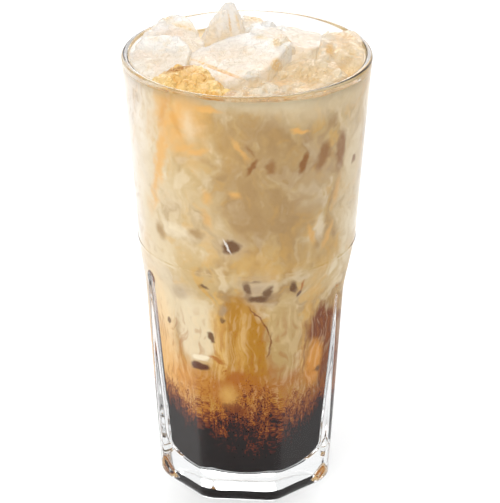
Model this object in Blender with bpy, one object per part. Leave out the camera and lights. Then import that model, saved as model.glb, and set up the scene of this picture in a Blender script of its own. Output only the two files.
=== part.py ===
# Iced coffee in a tall eight-sided tumbler: the glass, the drink's three layers, and the ice that stands out.
# Metres, +Z up. The origin is on the axis, in the plane that the foot stands on, and -Y is the front.

import math
import random

import bmesh
import bpy
from mathutils import Euler, Vector, noise

# Tumbler, outside. A round cone above the shoulder, eight flat panels below it.
HEIGHT = 0.1495
RIM_RADIUS = 0.0400
RIDGE_Z = 0.0868
RIDGE_RADIUS = 0.0356
SHOULDER_Z = 0.0720
SHOULDER_EASE = 1.6
PANELS = 8
PANEL_TURN = math.radians(-4.4)
BASE_CORNER_RADIUS = 0.0305
CORNER_SLOPE = 0.062
PILLAR_TRIM = 0.982
FOOT_FACET = 0.0022
FOOT_INSET = 0.0009

# Tumbler, inside. The bore narrows behind the shoulder, and its floor has a rounded corner.
LIP_RADIUS = 0.0012
BORE_TOP_RADIUS = RIM_RADIUS - 2 * LIP_RADIUS
BORE_RIDGE_RADIUS = 0.0322
BORE_SHOULDER_Z = 0.0700
BORE_SHOULDER_RADIUS = 0.0262
BORE_FOOT_RADIUS = 0.0208
FLOOR_Z = 0.0068
FLOOR_CORNER = 0.0065

# Underside, hollowed a little so that the glass stands on a ring.
PUNT_RADIUS = 0.0215
PUNT_DEPTH = 0.0014

# The drink.
LEVEL_Z = HEIGHT - 0.0060
DARK_TOP_Z = 0.0300
AMBER_TOP_Z = 0.0590
GAP = 0.0003
ICE_DRAUGHT = 0.0200
POCKET_ROOM = 0.0009

# Facets.
GLASS_SIDES = 64
DRINK_SIDES = 48
LAYER_RINGS = 5
ICE_SIDES = 18
ICE_RINGS = 12

PANEL_ANGLE = 2 * math.pi / PANELS


def smooth(t):
    t = min(1.0, max(0.0, t))
    return t * t * (3 - 2 * t)


def mix(a, b, t):
    return a + (b - a) * t


def on_circle(azimuth, radius, z):
    """Azimuth 0 is the front, -Y, and it grows towards +X."""
    return Vector((radius * math.sin(azimuth), -radius * math.cos(azimuth), z))


# Tumbler

def cone_radius(z):
    return mix(RIDGE_RADIUS, RIM_RADIUS, (z - RIDGE_Z) / (HEIGHT - RIDGE_Z))


def corner_radius(z):
    return BASE_CORNER_RADIUS + CORNER_SLOPE * z


def shoulder_share(z):
    """0 below the shoulder and 1 at the ridge, where the outline has its crease."""
    return max(0.0, (z - SHOULDER_Z) / (RIDGE_Z - SHOULDER_Z)) ** SHOULDER_EASE


def outer_radius(azimuth, z):
    """The round body cut by eight panels, whose tops run out in arches below the ridge."""
    if z >= RIDGE_Z:
        return cone_radius(z)
    share = shoulder_share(z)
    body = mix(PILLAR_TRIM * corner_radius(z), RIDGE_RADIUS, share)
    panel = mix(math.cos(PANEL_ANGLE / 2) * corner_radius(z), RIDGE_RADIUS, share)
    off_middle = (azimuth - PANEL_TURN + PANEL_ANGLE / 2) % PANEL_ANGLE - PANEL_ANGLE / 2
    return min(body, panel / math.cos(off_middle))


def bore_wall_radius(z):
    """The bore above its rounded floor corner."""
    foot = FLOOR_Z + FLOOR_CORNER
    if z <= BORE_SHOULDER_Z:
        return mix(BORE_FOOT_RADIUS, BORE_SHOULDER_RADIUS, (z - foot) / (BORE_SHOULDER_Z - foot))
    if z <= RIDGE_Z:
        share = smooth((z - BORE_SHOULDER_Z) / (RIDGE_Z - BORE_SHOULDER_Z))
        return mix(BORE_SHOULDER_RADIUS, BORE_RIDGE_RADIUS, share)
    return mix(BORE_RIDGE_RADIUS, BORE_TOP_RADIUS, (z - RIDGE_Z) / (HEIGHT - LIP_RADIUS - RIDGE_Z))


def bore_radius(z, gap=0.0):
    """The bore, drawn in by a gap that also lifts it off the rounded floor corner."""
    corner_z = FLOOR_Z + FLOOR_CORNER
    if z >= corner_z:
        return bore_wall_radius(z) - gap
    reach = FLOOR_CORNER - gap
    drop = min(reach, corner_z - z)
    return BORE_FOOT_RADIUS - FLOOR_CORNER + math.sqrt(reach * reach - drop * drop)


def steps(low, high, count):
    return [mix(low, high, i / count) for i in range(count + 1)]


def bore_shoulder_heights():
    return steps(BORE_SHOULDER_Z, RIDGE_Z, 5)


def lathe(name, sides, stations, turn, bottom, top):
    """A closed skin through stations, functions that give the point at an azimuth, capped by two points."""
    mesh = bmesh.new()
    azimuths = [turn + 2 * math.pi * i / sides for i in range(sides)]
    rings = [[mesh.verts.new(station(a)) for a in azimuths] for station in stations]
    for lower, upper in zip(rings, rings[1:]):
        for i in range(sides):
            j = (i + 1) % sides
            mesh.faces.new((lower[i], lower[j], upper[j], upper[i]))
    for ring, centre, facing_up in ((rings[0], bottom, False), (rings[-1], top, True)):
        pole = mesh.verts.new(centre)
        for i in range(sides):
            j = (i + 1) % sides
            mesh.faces.new((ring[i], ring[j], pole) if facing_up else (ring[j], ring[i], pole))
    bmesh.ops.triangulate(mesh, faces=mesh.faces)
    bmesh.ops.recalc_face_normals(mesh, faces=mesh.faces)
    return place(name, mesh)


def place(name, mesh):
    data = bpy.data.meshes.new(name)
    mesh.to_mesh(data)
    mesh.free()
    data.shade_smooth()
    data.set_sharp_from_angle(angle=math.radians(28))
    made = bpy.data.objects.new(name, data)
    bpy.context.scene.collection.objects.link(made)
    return made


def round_station(radius, z):
    return lambda a: on_circle(a, radius, z)


def panel_station(z):
    return lambda a: on_circle(a, outer_radius(a, z), z)


def foot_station(azimuth):
    """The edge that the glass stands on, drawn in below the foot's narrow facet."""
    return on_circle(azimuth, outer_radius(azimuth, FOOT_FACET) - FOOT_INSET, 0.0)


def build_tumbler():
    stations = [round_station(PUNT_RADIUS * t, PUNT_DEPTH * (1 - t ** 4)) for t in (0.35, 0.7, 0.9, 1.0)]
    stations.append(foot_station)
    stations += [panel_station(z) for z in steps(FOOT_FACET, SHOULDER_Z, 2)]
    stations += [panel_station(z) for z in steps(SHOULDER_Z, RIDGE_Z, 7)[1:]]
    lip_z = HEIGHT - LIP_RADIUS
    lip_middle = RIM_RADIUS - LIP_RADIUS
    for angle in steps(0.0, math.pi, 6):
        radius = lip_middle + LIP_RADIUS * math.cos(angle)
        stations.append(round_station(radius, lip_z + LIP_RADIUS * math.sin(angle)))
    corner_z = FLOOR_Z + FLOOR_CORNER
    stations += [round_station(bore_radius(z), z) for z in reversed(bore_shoulder_heights())]
    for angle in steps(0.0, math.pi / 2, 5):
        radius = BORE_FOOT_RADIUS - FLOOR_CORNER * (1 - math.cos(angle))
        stations.append(round_station(radius, corner_z - FLOOR_CORNER * math.sin(angle)))
    turn = PANEL_TURN + PANEL_ANGLE / 2
    return lathe("tumbler", GLASS_SIDES, stations, turn, Vector((0, 0, PUNT_DEPTH)), Vector((0, 0, FLOOR_Z)))


# Drink

def dark_top(azimuth, share):
    """Where the dark coffee ends: low at the front, high at the sides, with small waves."""
    wave = -5.0 * math.cos(azimuth) + 2.0 * math.sin(3 * azimuth + 0.9) + 1.2 * math.sin(7 * azimuth)
    return DARK_TOP_Z + 0.001 * wave * share ** 1.5


def amber_top(azimuth, share):
    """Where the amber mix ends: tongues of milk reach down into it."""
    wave = 4.2 * math.sin(3 * azimuth - 0.5) + 2.6 * math.sin(5 * azimuth + 1.7) - 1.4 * math.cos(azimuth)
    return AMBER_TOP_Z + 0.001 * wave * share ** 1.5


def level_top(azimuth, share):
    return LEVEL_Z


def surface_station(surface, share, lift):
    """A ring on a layer's boundary, at a share of the way from the axis to the wall."""
    def point(azimuth):
        wall_z = surface(azimuth, 1.0) + lift
        return on_circle(azimuth, bore_radius(wall_z, GAP) * share, surface(azimuth, share) + lift)
    return point


def top_stations(surface):
    return [surface_station(surface, 1 - i / LAYER_RINGS, -GAP / 2) for i in range(LAYER_RINGS)]


def floor_stations(surface):
    return [surface_station(surface, (i + 1) / LAYER_RINGS, GAP / 2) for i in range(LAYER_RINGS)]


def build_dark_coffee():
    """It fills the rounded floor corner, so its first rings follow that arc."""
    reach = FLOOR_CORNER - GAP
    corner_z = FLOOR_Z + FLOOR_CORNER
    stations = []
    for angle in steps(math.pi / 2, 0.0, 5):
        radius = BORE_FOOT_RADIUS - FLOOR_CORNER + reach * math.cos(angle)
        stations.append(round_station(radius, corner_z - reach * math.sin(angle)))
    stations += top_stations(dark_top)
    bottom = Vector((0, 0, FLOOR_Z + GAP))
    return lathe("dark_coffee", DRINK_SIDES, stations, 0.0, bottom, Vector((0, 0, dark_top(0, 0) - GAP / 2)))


def build_layer(name, low_surface, high_surface, wall_heights=()):
    """A layer between two surfaces. Its side follows the bore at the heights where that bends."""
    stations = floor_stations(low_surface)
    stations += [round_station(bore_radius(z, GAP), z) for z in wall_heights]
    stations += top_stations(high_surface)
    bottom = Vector((0, 0, low_surface(0, 0) + GAP / 2))
    return lathe(name, DRINK_SIDES, stations, 0.0, bottom, Vector((0, 0, high_surface(0, 0) - GAP / 2)))


# Ice

class Chunk:
    """A broken piece of ice: flat faces with rounded edges about a centre, and a lumpy skin."""

    SHARPNESS = 12
    SLANT = 0.20
    CHIPS = 8

    def __init__(self, name, centre, half_size, turn, taper=(0.0, 0.0), lumps=0.07, seed=0):
        self.name = name
        self.centre = Vector(centre) * 0.001
        self.size = sum(half_size) / 3 * 0.001
        self.lumps = lumps
        self.offset = Vector((seed * 3.1, seed * 1.7, -seed * 2.3))
        self.to_local = Euler([math.radians(a) for a in turn]).to_matrix().transposed()
        draw = random.Random(seed)
        self.faces = []
        for axis in range(3):
            for side in (-1, 1):
                normal = Vector([draw.uniform(-self.SLANT, self.SLANT) for _ in range(3)])
                normal[axis] = side
                if axis < 2:
                    normal.z += taper[axis]
                self.faces.append((normal.normalized(), half_size[axis] * 0.001))
        for _ in range(self.CHIPS):
            normal = Vector([draw.choice((-1, 1)) * draw.uniform(0.5, 1.0) for _ in range(3)]).normalized()
            reach = sum(abs(normal[i]) * half_size[i] for i in range(3)) * 0.001
            self.faces.append((normal, reach * draw.uniform(0.70, 0.86)))

    def reach(self, direction, others, room):
        """How far the ice and the room round it go: to its own faces and lumps, its neighbours or the glass."""
        local = self.to_local @ direction
        total = sum((n.dot(local) / (d + room)) ** self.SHARPNESS for n, d in self.faces if n.dot(local) > 0)
        reach = total ** (-1 / self.SHARPNESS)
        reach *= 1 + self.lumps * noise.fractal(local * 2.1 + self.offset, 0.9, 2.1, 3)
        for other in others:
            apart = other.centre - self.centre
            facing = direction.dot(apart.normalized())
            if facing > 0.01:
                share = self.size / (self.size + other.size)
                reach = min(reach, (apart.length * share - GAP + room) / facing)
        return min(reach, self.wall_reach(direction, room))

    def wall_reach(self, direction, room):
        """How far it is to the bore along a direction, found by walking the bore's slope."""
        across = Vector((direction.x, direction.y))
        start = Vector((self.centre.x, self.centre.y))
        if across.length < 0.05:
            return 1.0
        reach = 0.0
        for _ in range(4):
            z = min(HEIGHT, max(LEVEL_Z - ICE_DRAUGHT, self.centre.z + reach * direction.z))
            wall = bore_wall_radius(z) - 2 * GAP + room
            a, b = across.dot(across), start.dot(across)
            reach = (-b + math.sqrt(max(0.0, b * b - a * (start.dot(start) - wall * wall)))) / a
        return reach


ICE = [
    Chunk("ice_shard", (-7.5, 19, 146.0), (6.7, 4.2, 13.0), (-8, 8, 10), (0.55, 0.30), lumps=0.04, seed=3),
    Chunk("ice_back", (2, 27, 143.5), (5.5, 5, 6), (6, 10, -15), lumps=0.08, seed=7),
    Chunk("ice_left", (-25, 14, 143.2), (13, 12, 5.4), (4, -6, 25), seed=5),
    Chunk("ice_left_front", (-28, -6, 143.2), (10, 12, 7), (6, 8, -20), seed=8),
    Chunk("ice_slab", (-4, -9, 145.0), (20, 17, 6), (7, -3, 30), lumps=0.04, seed=11),
    Chunk("ice_front_left", (-19, -24, 142.8), (11, 9, 6), (8, 0, -35), lumps=0.10, seed=13),
    Chunk("ice_rear", (14, 8.5, 143.8), (15, 12.5, 7.5), (-5, 4, 15), seed=17),
    Chunk("ice_right", (30, 2, 144.0), (8, 11, 7), (0, 8, 5), seed=21),
    Chunk("ice_front_right", (19, -19, 142.8), (13, 12, 6.5), (7, 5, -30), lumps=0.10, seed=24),
    Chunk("ice_front", (1, -32, 142.4), (10, 5, 6), (6, 0, 4), lumps=0.10, seed=29),
]


def build_chunk(chunk, name, room=0.0):
    """The piece as a ball of directions, each drawn out to its reach."""
    others = [c for c in ICE if c is not chunk]
    mesh = bmesh.new()
    bmesh.ops.create_uvsphere(mesh, u_segments=ICE_SIDES, v_segments=ICE_RINGS, radius=1.0)
    for vert in mesh.verts:
        direction = vert.co.normalized()
        vert.co = chunk.centre + direction * chunk.reach(direction, others, room)
    bmesh.ops.triangulate(mesh, faces=mesh.faces, quad_method="FIXED")
    return place(name, mesh)


def cut_pocket(drink, chunk):
    """The drink stands round the ice with a thin gap."""
    cutter = build_chunk(chunk, "pocket_" + chunk.name, room=POCKET_ROOM)
    cutter.hide_render = True
    cutter.display_type = "WIRE"
    cut = drink.modifiers.new("pocket_" + chunk.name, "BOOLEAN")
    cut.operation = "DIFFERENCE"
    cut.object = cutter


# Colours

def give_material(made, name, colour, roughness, transmission=0.0):
    material = bpy.data.materials.get(name)
    if material is None:
        material = bpy.data.materials.new(name)
        material.use_nodes = True
        shader = material.node_tree.nodes["Principled BSDF"]
        shader.inputs["Base Color"].default_value = (*colour, 1.0)
        shader.inputs["Roughness"].default_value = roughness
        shader.inputs["Metallic"].default_value = 0.0
        shader.inputs["Transmission Weight"].default_value = transmission
    made.data.materials.append(material)


def main():
    for old in list(bpy.data.objects):
        bpy.data.objects.remove(old, do_unlink=True)
    give_material(build_tumbler(), "clear_glass", (0.95, 0.97, 0.98), 0.02, transmission=1.0)
    give_material(build_dark_coffee(), "dark_coffee", (0.035, 0.018, 0.014), 0.25)
    amber = build_layer("amber_coffee", dark_top, amber_top)
    give_material(amber, "amber_coffee", (0.55, 0.27, 0.08), 0.3)
    milk = build_layer("milk_coffee", amber_top, level_top, bore_shoulder_heights())
    give_material(milk, "milk_coffee", (0.70, 0.52, 0.33), 0.3)
    for chunk in ICE:
        give_material(build_chunk(chunk, chunk.name), "ice", (0.93, 0.92, 0.90), 0.15, transmission=0.5)
        cut_pocket(milk, chunk)


main()
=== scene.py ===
# Layered iced milk coffee in a tall eight-panelled tumbler, with broken ice standing out of it.
# Metres, +Z up. The origin is on the glass's axis where the foot stands, and -Y is the front.
import math
import random

import bmesh
import bpy
from mathutils import Euler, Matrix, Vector, noise
from mathutils.bvhtree import BVHTree


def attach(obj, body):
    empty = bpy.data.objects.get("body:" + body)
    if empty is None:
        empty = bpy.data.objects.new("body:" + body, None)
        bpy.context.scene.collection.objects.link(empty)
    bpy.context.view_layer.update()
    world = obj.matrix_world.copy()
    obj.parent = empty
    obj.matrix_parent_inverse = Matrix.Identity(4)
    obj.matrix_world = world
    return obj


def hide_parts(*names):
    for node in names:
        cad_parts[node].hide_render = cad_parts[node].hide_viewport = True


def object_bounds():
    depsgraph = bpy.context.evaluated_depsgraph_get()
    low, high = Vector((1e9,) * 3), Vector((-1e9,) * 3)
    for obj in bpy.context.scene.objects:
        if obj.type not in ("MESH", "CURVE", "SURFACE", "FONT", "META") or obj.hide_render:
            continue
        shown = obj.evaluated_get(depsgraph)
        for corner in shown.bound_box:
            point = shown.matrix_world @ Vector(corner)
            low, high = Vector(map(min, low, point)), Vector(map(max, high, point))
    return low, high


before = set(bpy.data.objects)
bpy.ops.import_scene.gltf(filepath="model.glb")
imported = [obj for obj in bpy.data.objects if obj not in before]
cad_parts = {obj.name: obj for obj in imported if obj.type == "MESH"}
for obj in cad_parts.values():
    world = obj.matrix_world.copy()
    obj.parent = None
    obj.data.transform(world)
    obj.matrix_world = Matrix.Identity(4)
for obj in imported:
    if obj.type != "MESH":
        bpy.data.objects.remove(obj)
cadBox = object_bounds()
scene = bpy.context.scene


def mix(a, b, t):
    return a + (b - a) * t


def smooth(t):
    t = min(1.0, max(0.0, t))
    return t * t * (3 - 2 * t)


def steps(low, high, count):
    return [mix(low, high, i / count) for i in range(count + 1)]


def onCircle(azimuth, radius, z):  # azimuth 0 is the front and grows towards +X
    return Vector((radius * math.sin(azimuth), -radius * math.cos(azimuth), z))


def colour(red, green, blue):  # from the 0 to 255 values that a picture shows
    def linear(value):
        value /= 255
        return value / 12.92 if value <= 0.04045 else ((value + 0.055) / 1.055) ** 2.4
    return (linear(red), linear(green), linear(blue), 1.0)


# The camera stands where the photograph was taken from: the rim's ellipse and the sides fit within 2 pixels.
photo = {
    "columns": 500,
    "rows": 503,
    "focalPixels": 2367,
    "distance": 0.7052,
    "eyeHeight": 0.4156,
    "lookDown": math.radians(25.5),
    "axisColumn": 247.0,
    "middleRow": 251.5,
}


def addCamera():
    data = bpy.data.cameras.new("photoCamera")
    data.sensor_width = 36
    data.lens = photo["focalPixels"] * 36 / photo["rows"]
    data.shift_x = (photo["columns"] / 2 - photo["axisColumn"]) / photo["rows"]
    data.clip_start = 0.05
    camera = bpy.data.objects.new("photoCamera", data)
    camera.location = (0, -photo["distance"], photo["eyeHeight"])
    camera.rotation_euler = (math.pi / 2 - photo["lookDown"], 0, 0)
    scene.collection.objects.link(camera)
    scene.camera = camera


addCamera()
print("camera set")


# Node helpers
class Graph:
    def __init__(self, tree):
        self.tree = tree

    def add(self, kind, **settings):
        made = self.tree.nodes.new(kind)
        for key, value in settings.items():
            setattr(made, key, value)
        return made

    def put(self, socket, value):
        if isinstance(value, bpy.types.NodeSocket):
            self.tree.links.new(value, socket)
        elif value is not None:
            socket.default_value = value

    def math(self, operation, a, b=None, c=None, clamp=False):
        made = self.add("ShaderNodeMath", operation=operation, use_clamp=clamp)
        for socket, value in zip(made.inputs, (a, b, c)):
            self.put(socket, value)
        return made.outputs[0]

    def vector(self, operation, a, b=None, scale=None):
        made = self.add("ShaderNodeVectorMath", operation=operation)
        self.put(made.inputs[0], a)
        self.put(made.inputs[1], b)
        if scale is not None:
            self.put(made.inputs["Scale"], scale)
        return made.outputs["Value" if operation in ("LENGTH", "DOT_PRODUCT") else "Vector"]

    def join(self, x, y, z):
        made = self.add("ShaderNodeCombineXYZ")
        for socket, value in zip(made.inputs, (x, y, z)):
            self.put(socket, value)
        return made.outputs[0]

    def split(self, vector):
        made = self.add("ShaderNodeSeparateXYZ")
        self.put(made.inputs[0], vector)
        return made.outputs

    def noise(self, vector, scale, detail=3.0, roughness=0.5, distortion=0.0, out="Fac"):
        made = self.add("ShaderNodeTexNoise")
        self.put(made.inputs["Vector"], vector)
        self.put(made.inputs["Scale"], scale)
        self.put(made.inputs["Detail"], detail)
        self.put(made.inputs["Roughness"], roughness)
        self.put(made.inputs["Distortion"], distortion)
        return made.outputs[out]

    def fade(self, value, low, high, start=0.0, end=1.0):
        made = self.add("ShaderNodeMapRange", interpolation_type="SMOOTHSTEP")
        values = {"Value": value, "From Min": low, "From Max": high, "To Min": start, "To Max": end}
        for name, given in values.items():
            self.put(made.inputs[name], given)
        return made.outputs["Result"]

    def blend(self, share, a, b, kind="MIX"):
        made = self.add("ShaderNodeMix", data_type="RGBA", blend_type=kind, clamp_factor=True)
        self.put(made.inputs[0], share)
        self.put(made.inputs[6], a)
        self.put(made.inputs[7], b)
        return made.outputs[2]

    def ramp(self, value, stops):
        made = self.add("ShaderNodeValToRGB")
        elements = made.color_ramp.elements
        elements.remove(elements[1])
        for place, tone in stops[1:]:
            elements.new(place).color = tone
        elements[0].position, elements[0].color = stops[0]
        self.put(made.inputs[0], value)
        return made.outputs[0]


def newMaterial(name):
    material = bpy.data.materials.new(name)
    material.use_nodes = True
    graph = Graph(material.node_tree)
    shader = material.node_tree.nodes["Principled BSDF"]
    output = material.node_tree.nodes["Material Output"]
    return material, graph, shader, output


def meshObject(name, mesh, material, smoothAngle=None):
    data = bpy.data.meshes.new(name)
    mesh.to_mesh(data)
    mesh.free()
    data.shade_smooth()
    if smoothAngle:
        data.set_sharp_from_angle(angle=math.radians(smoothAngle))
    made = bpy.data.objects.new(name, data)
    made.data.materials.append(material)
    scene.collection.objects.link(made)
    return made


# Studio: an even white surround that darkens a little at the sides, so that the glass has edges to show.
studio = {
    "sky": (1.0, 1.0, 1.0, 1.0),
    "sides": (0.42, 0.40, 0.38, 1.0),
    "sidesFrom": 0.62,
    "sidesTo": 0.98,
    "strength": 1.05,
    "floorColour": colour(248, 248, 248),
    "floorRoughness": 0.6,
    "floorSize": 6.0,
    "softBoxes": [  # place, aim, size and power
        ((-1.0, -0.65, 0.75), (0.0, 0.0, 0.07), 0.9, 6.0),
        ((0.15, 1.30, 0.80), (0.0, 0.0, 0.12), 0.9, 8.0),
    ],
}


def buildStudio():
    world = bpy.data.worlds.new("studio")
    world.use_nodes = True
    scene.world = world
    graph = Graph(world.node_tree)
    background = world.node_tree.nodes["Background"]
    direction = graph.add("ShaderNodeTexCoord").outputs["Generated"]
    x, y, z = graph.split(direction)
    side = graph.fade(graph.math("ABSOLUTE", x), studio["sidesFrom"], studio["sidesTo"])
    graph.put(background.inputs["Color"], graph.blend(side, studio["sky"], studio["sides"]))
    background.inputs["Strength"].default_value = studio["strength"]
    mesh = bmesh.new()
    half = studio["floorSize"] / 2
    corners = ((-half, -half, 0), (half, -half, 0), (half, half, 0), (-half, half, 0))
    mesh.faces.new([mesh.verts.new(corner) for corner in corners])
    material, graph, shader, output = newMaterial("paleFloor")
    shader.inputs["Base Color"].default_value = studio["floorColour"]
    shader.inputs["Roughness"].default_value = studio["floorRoughness"]
    meshObject("floor", mesh, material)
    for place, aim, size, power in studio["softBoxes"]:
        data = bpy.data.lights.new("softBox", "AREA")
        data.size = size
        data.energy = power
        light = bpy.data.objects.new("softBox", data)
        light.location = place
        light.rotation_euler = (Vector(aim) - Vector(place)).to_track_quat("-Z", "Y").to_euler()
        scene.collection.objects.link(light)


buildStudio()
print("studio built")


# Tumbler
glass = {
    "height": 0.1495,
    "rimRadius": 0.03998,
    "ridgeZ": 0.0868,
    "ridgeRadius": 0.0356,
    "ridgeBead": 0.00025,
    "ridgeBeadHeight": 0.0007,
    "shoulderZ": 0.0720,
    "shoulderEase": 1.6,
    "panels": 8,
    "panelTurn": math.radians(-4.4),
    "baseCornerRadius": 0.0305,
    "cornerSlope": 0.062,
    "pillarTrim": 0.982,
    "edgeRounding": 0.0004,
    "footFacet": 0.0022,
    "footInset": 0.0009,
    "footRounding": 0.0004,
    "lipRadius": 0.0012,
    "innerRings": (0.004, 0.009),  # radii that divide the round floors
    "boreRidgeRadius": 0.0322,
    "boreShoulderZ": 0.0700,
    "boreShoulderRadius": 0.0262,
    "boreFootRadius": 0.0208,
    "floorZ": 0.0068,
    "floorCorner": 0.0065,
    "puntInset": 0.0040,
    "puntSlope": 0.0052,
    "puntDepth": 0.0014,
    "refraction": 1.5,
    "tone": (0.915, 0.925, 0.930, 1.0),
    "glint": (0.68, 0.68, 0.68, 1.0),
    "shadowTone": (0.93, 0.94, 0.94, 1.0),
}
panelAngle = 2 * math.pi / glass["panels"]
boreTopRadius = glass["rimRadius"] - 2 * glass["lipRadius"]


def outerRadius(azimuth, z):
    if z >= glass["ridgeZ"]:
        share = (z - glass["ridgeZ"]) / (glass["height"] - glass["ridgeZ"])
        bead = glass["ridgeBead"] * smooth(1 - (z - glass["ridgeZ"]) / glass["ridgeBeadHeight"])
        return mix(glass["ridgeRadius"], glass["rimRadius"], share) + bead
    share = (z - glass["shoulderZ"]) / (glass["ridgeZ"] - glass["shoulderZ"])
    share = max(0.0, share) ** glass["shoulderEase"]
    corner = glass["baseCornerRadius"] + glass["cornerSlope"] * z
    body = mix(glass["pillarTrim"] * corner, glass["ridgeRadius"], share)
    panel = mix(math.cos(panelAngle / 2) * corner, glass["ridgeRadius"], share)
    offMiddle = (azimuth - glass["panelTurn"] + panelAngle / 2) % panelAngle - panelAngle / 2
    flat = panel / math.cos(offMiddle)
    near = max(0.0, 1 - abs(body - flat) / glass["edgeRounding"])
    return min(body, flat) - near * near * glass["edgeRounding"] / 4


def boreWallRadius(z):
    foot = glass["floorZ"] + glass["floorCorner"]
    if z <= glass["boreShoulderZ"]:
        share = (z - foot) / (glass["boreShoulderZ"] - foot)
        return mix(glass["boreFootRadius"], glass["boreShoulderRadius"], share)
    if z <= glass["ridgeZ"]:
        share = smooth((z - glass["boreShoulderZ"]) / (glass["ridgeZ"] - glass["boreShoulderZ"]))
        return mix(glass["boreShoulderRadius"], glass["boreRidgeRadius"], share)
    lipZ = glass["height"] - glass["lipRadius"]
    return mix(glass["boreRidgeRadius"], boreTopRadius, (z - glass["ridgeZ"]) / (lipZ - glass["ridgeZ"]))


def boreRadius(z, gap=0.0):
    cornerZ = glass["floorZ"] + glass["floorCorner"]
    if z >= cornerZ:
        return boreWallRadius(z) - gap
    reach = glass["floorCorner"] - gap
    drop = min(reach, cornerZ - z)
    return glass["boreFootRadius"] - glass["floorCorner"] + math.sqrt(reach * reach - drop * drop)


def lathe(azimuths, stations, bottom, top):  # a closed skin through rings of points
    mesh = bmesh.new()
    sides = len(azimuths)
    rings = [[mesh.verts.new(station(a)) for a in azimuths] for station in stations]
    for lower, upper in zip(rings, rings[1:]):
        for i in range(sides):
            j = (i + 1) % sides
            mesh.faces.new((lower[i], lower[j], upper[j], upper[i]))
    for ring, centre, facingUp in ((rings[0], bottom, False), (rings[-1], top, True)):
        pole = mesh.verts.new(centre)
        for i in range(sides):
            j = (i + 1) % sides
            mesh.faces.new((ring[i], ring[j], pole) if facingUp else (ring[j], ring[i], pole))
    bmesh.ops.recalc_face_normals(mesh, faces=mesh.faces)
    return mesh


def roundStation(radius, z):
    return lambda a: onCircle(a, radius, z)


def panelStation(z, inset=0.0, atZ=None):
    return lambda a: onCircle(a, outerRadius(a, z) - inset, z if atZ is None else atZ)


def panelAzimuths():  # close together at the pillars, where the outline bends
    shares = [0.0, 0.18, 0.36, 0.52, 0.64, 0.72, 0.78, 0.82, 0.845, 0.862, 0.875, 0.888, 0.902, 0.92, 0.96]
    half = [s * panelAngle / 2 for s in shares]
    one = [-a for a in reversed(half[1:])] + half
    return [glass["panelTurn"] + k * panelAngle + a for k in range(glass["panels"]) for a in one]


def letLightThrough(graph, solid, passing, output):  # shadow and diffuse rays go straight through
    rays = graph.add("ShaderNodeLightPath")
    seen = solid
    for kind in ("Is Shadow Ray", "Is Diffuse Ray"):
        either = graph.add("ShaderNodeMixShader")
        graph.put(either.inputs[0], rays.outputs[kind])
        graph.put(either.inputs[1], seen)
        graph.put(either.inputs[2], passing)
        seen = either.outputs[0]
    graph.put(output.inputs["Surface"], seen)


def glassMaterial():
    material, graph, shader, output = newMaterial("clearGlass")
    shader.inputs["Base Color"].default_value = glass["tone"]
    shader.inputs["Specular Tint"].default_value = glass["glint"]
    shader.inputs["Roughness"].default_value = 0.0
    shader.inputs["Transmission Weight"].default_value = 1.0
    shader.inputs["IOR"].default_value = glass["refraction"]
    passing = graph.add("ShaderNodeBsdfTransparent")
    passing.inputs["Color"].default_value = glass["shadowTone"]
    letLightThrough(graph, shader.outputs[0], passing.outputs[0], output)
    return material


def buildTumbler():
    facet, rounding = glass["footFacet"], glass["footRounding"]
    stations = [roundStation(radius, glass["puntDepth"]) for radius in glass["innerRings"]]
    for t in steps(1.0, 0.0, 8):
        inset = glass["puntInset"] + glass["puntSlope"] * t
        stations.append(panelStation(facet, inset=inset, atZ=glass["puntDepth"] * smooth(t)))
    for angle in steps(0.0, math.pi / 2, 4):
        inset = glass["footInset"] + rounding * (1 - math.sin(angle))
        stations.append(panelStation(facet, inset=inset, atZ=rounding * (1 - math.cos(angle))))
    stations += [panelStation(z) for z in [facet] + steps(facet + rounding, glass["shoulderZ"], 14)]
    stations += [panelStation(z) for z in steps(glass["shoulderZ"], glass["ridgeZ"], 28)[1:]]
    lipZ = glass["height"] - glass["lipRadius"]
    beadTop = glass["ridgeZ"] + glass["ridgeBeadHeight"]
    stations += [panelStation(z) for z in steps(glass["ridgeZ"] + 0.00005, beadTop, 6)]
    stations += [panelStation(z) for z in steps(beadTop, lipZ, 8)[1:-1]]
    lipMiddle = glass["rimRadius"] - glass["lipRadius"]
    for angle in steps(0.0, math.pi, 16):
        stations.append(roundStation(
            lipMiddle + glass["lipRadius"] * math.cos(angle), lipZ + glass["lipRadius"] * math.sin(angle)))
    cornerZ = glass["floorZ"] + glass["floorCorner"]
    heights = steps(cornerZ, glass["boreShoulderZ"], 8)
    heights += steps(glass["boreShoulderZ"], glass["ridgeZ"], 20)[1:]
    heights += steps(glass["ridgeZ"], lipZ, 8)[1:-1]
    stations += [roundStation(boreRadius(z), z) for z in reversed(heights)]
    for angle in steps(0.0, math.pi / 2, 12)[1:]:
        radius = glass["boreFootRadius"] - glass["floorCorner"] * (1 - math.cos(angle))
        stations.append(roundStation(radius, cornerZ - glass["floorCorner"] * math.sin(angle)))
    innermost = glass["boreFootRadius"] - glass["floorCorner"]
    stations += [roundStation(innermost * t, glass["floorZ"]) for t in (0.66, 0.33)]
    punt, boreFloor = Vector((0, 0, glass["puntDepth"])), Vector((0, 0, glass["floorZ"]))
    mesh = lathe(panelAzimuths(), stations, punt, boreFloor)
    made = meshObject("tumblerGlass", mesh, glassMaterial())
    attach(made, "root")
    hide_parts("tumbler")


buildTumbler()
print("tumbler built")


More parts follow.
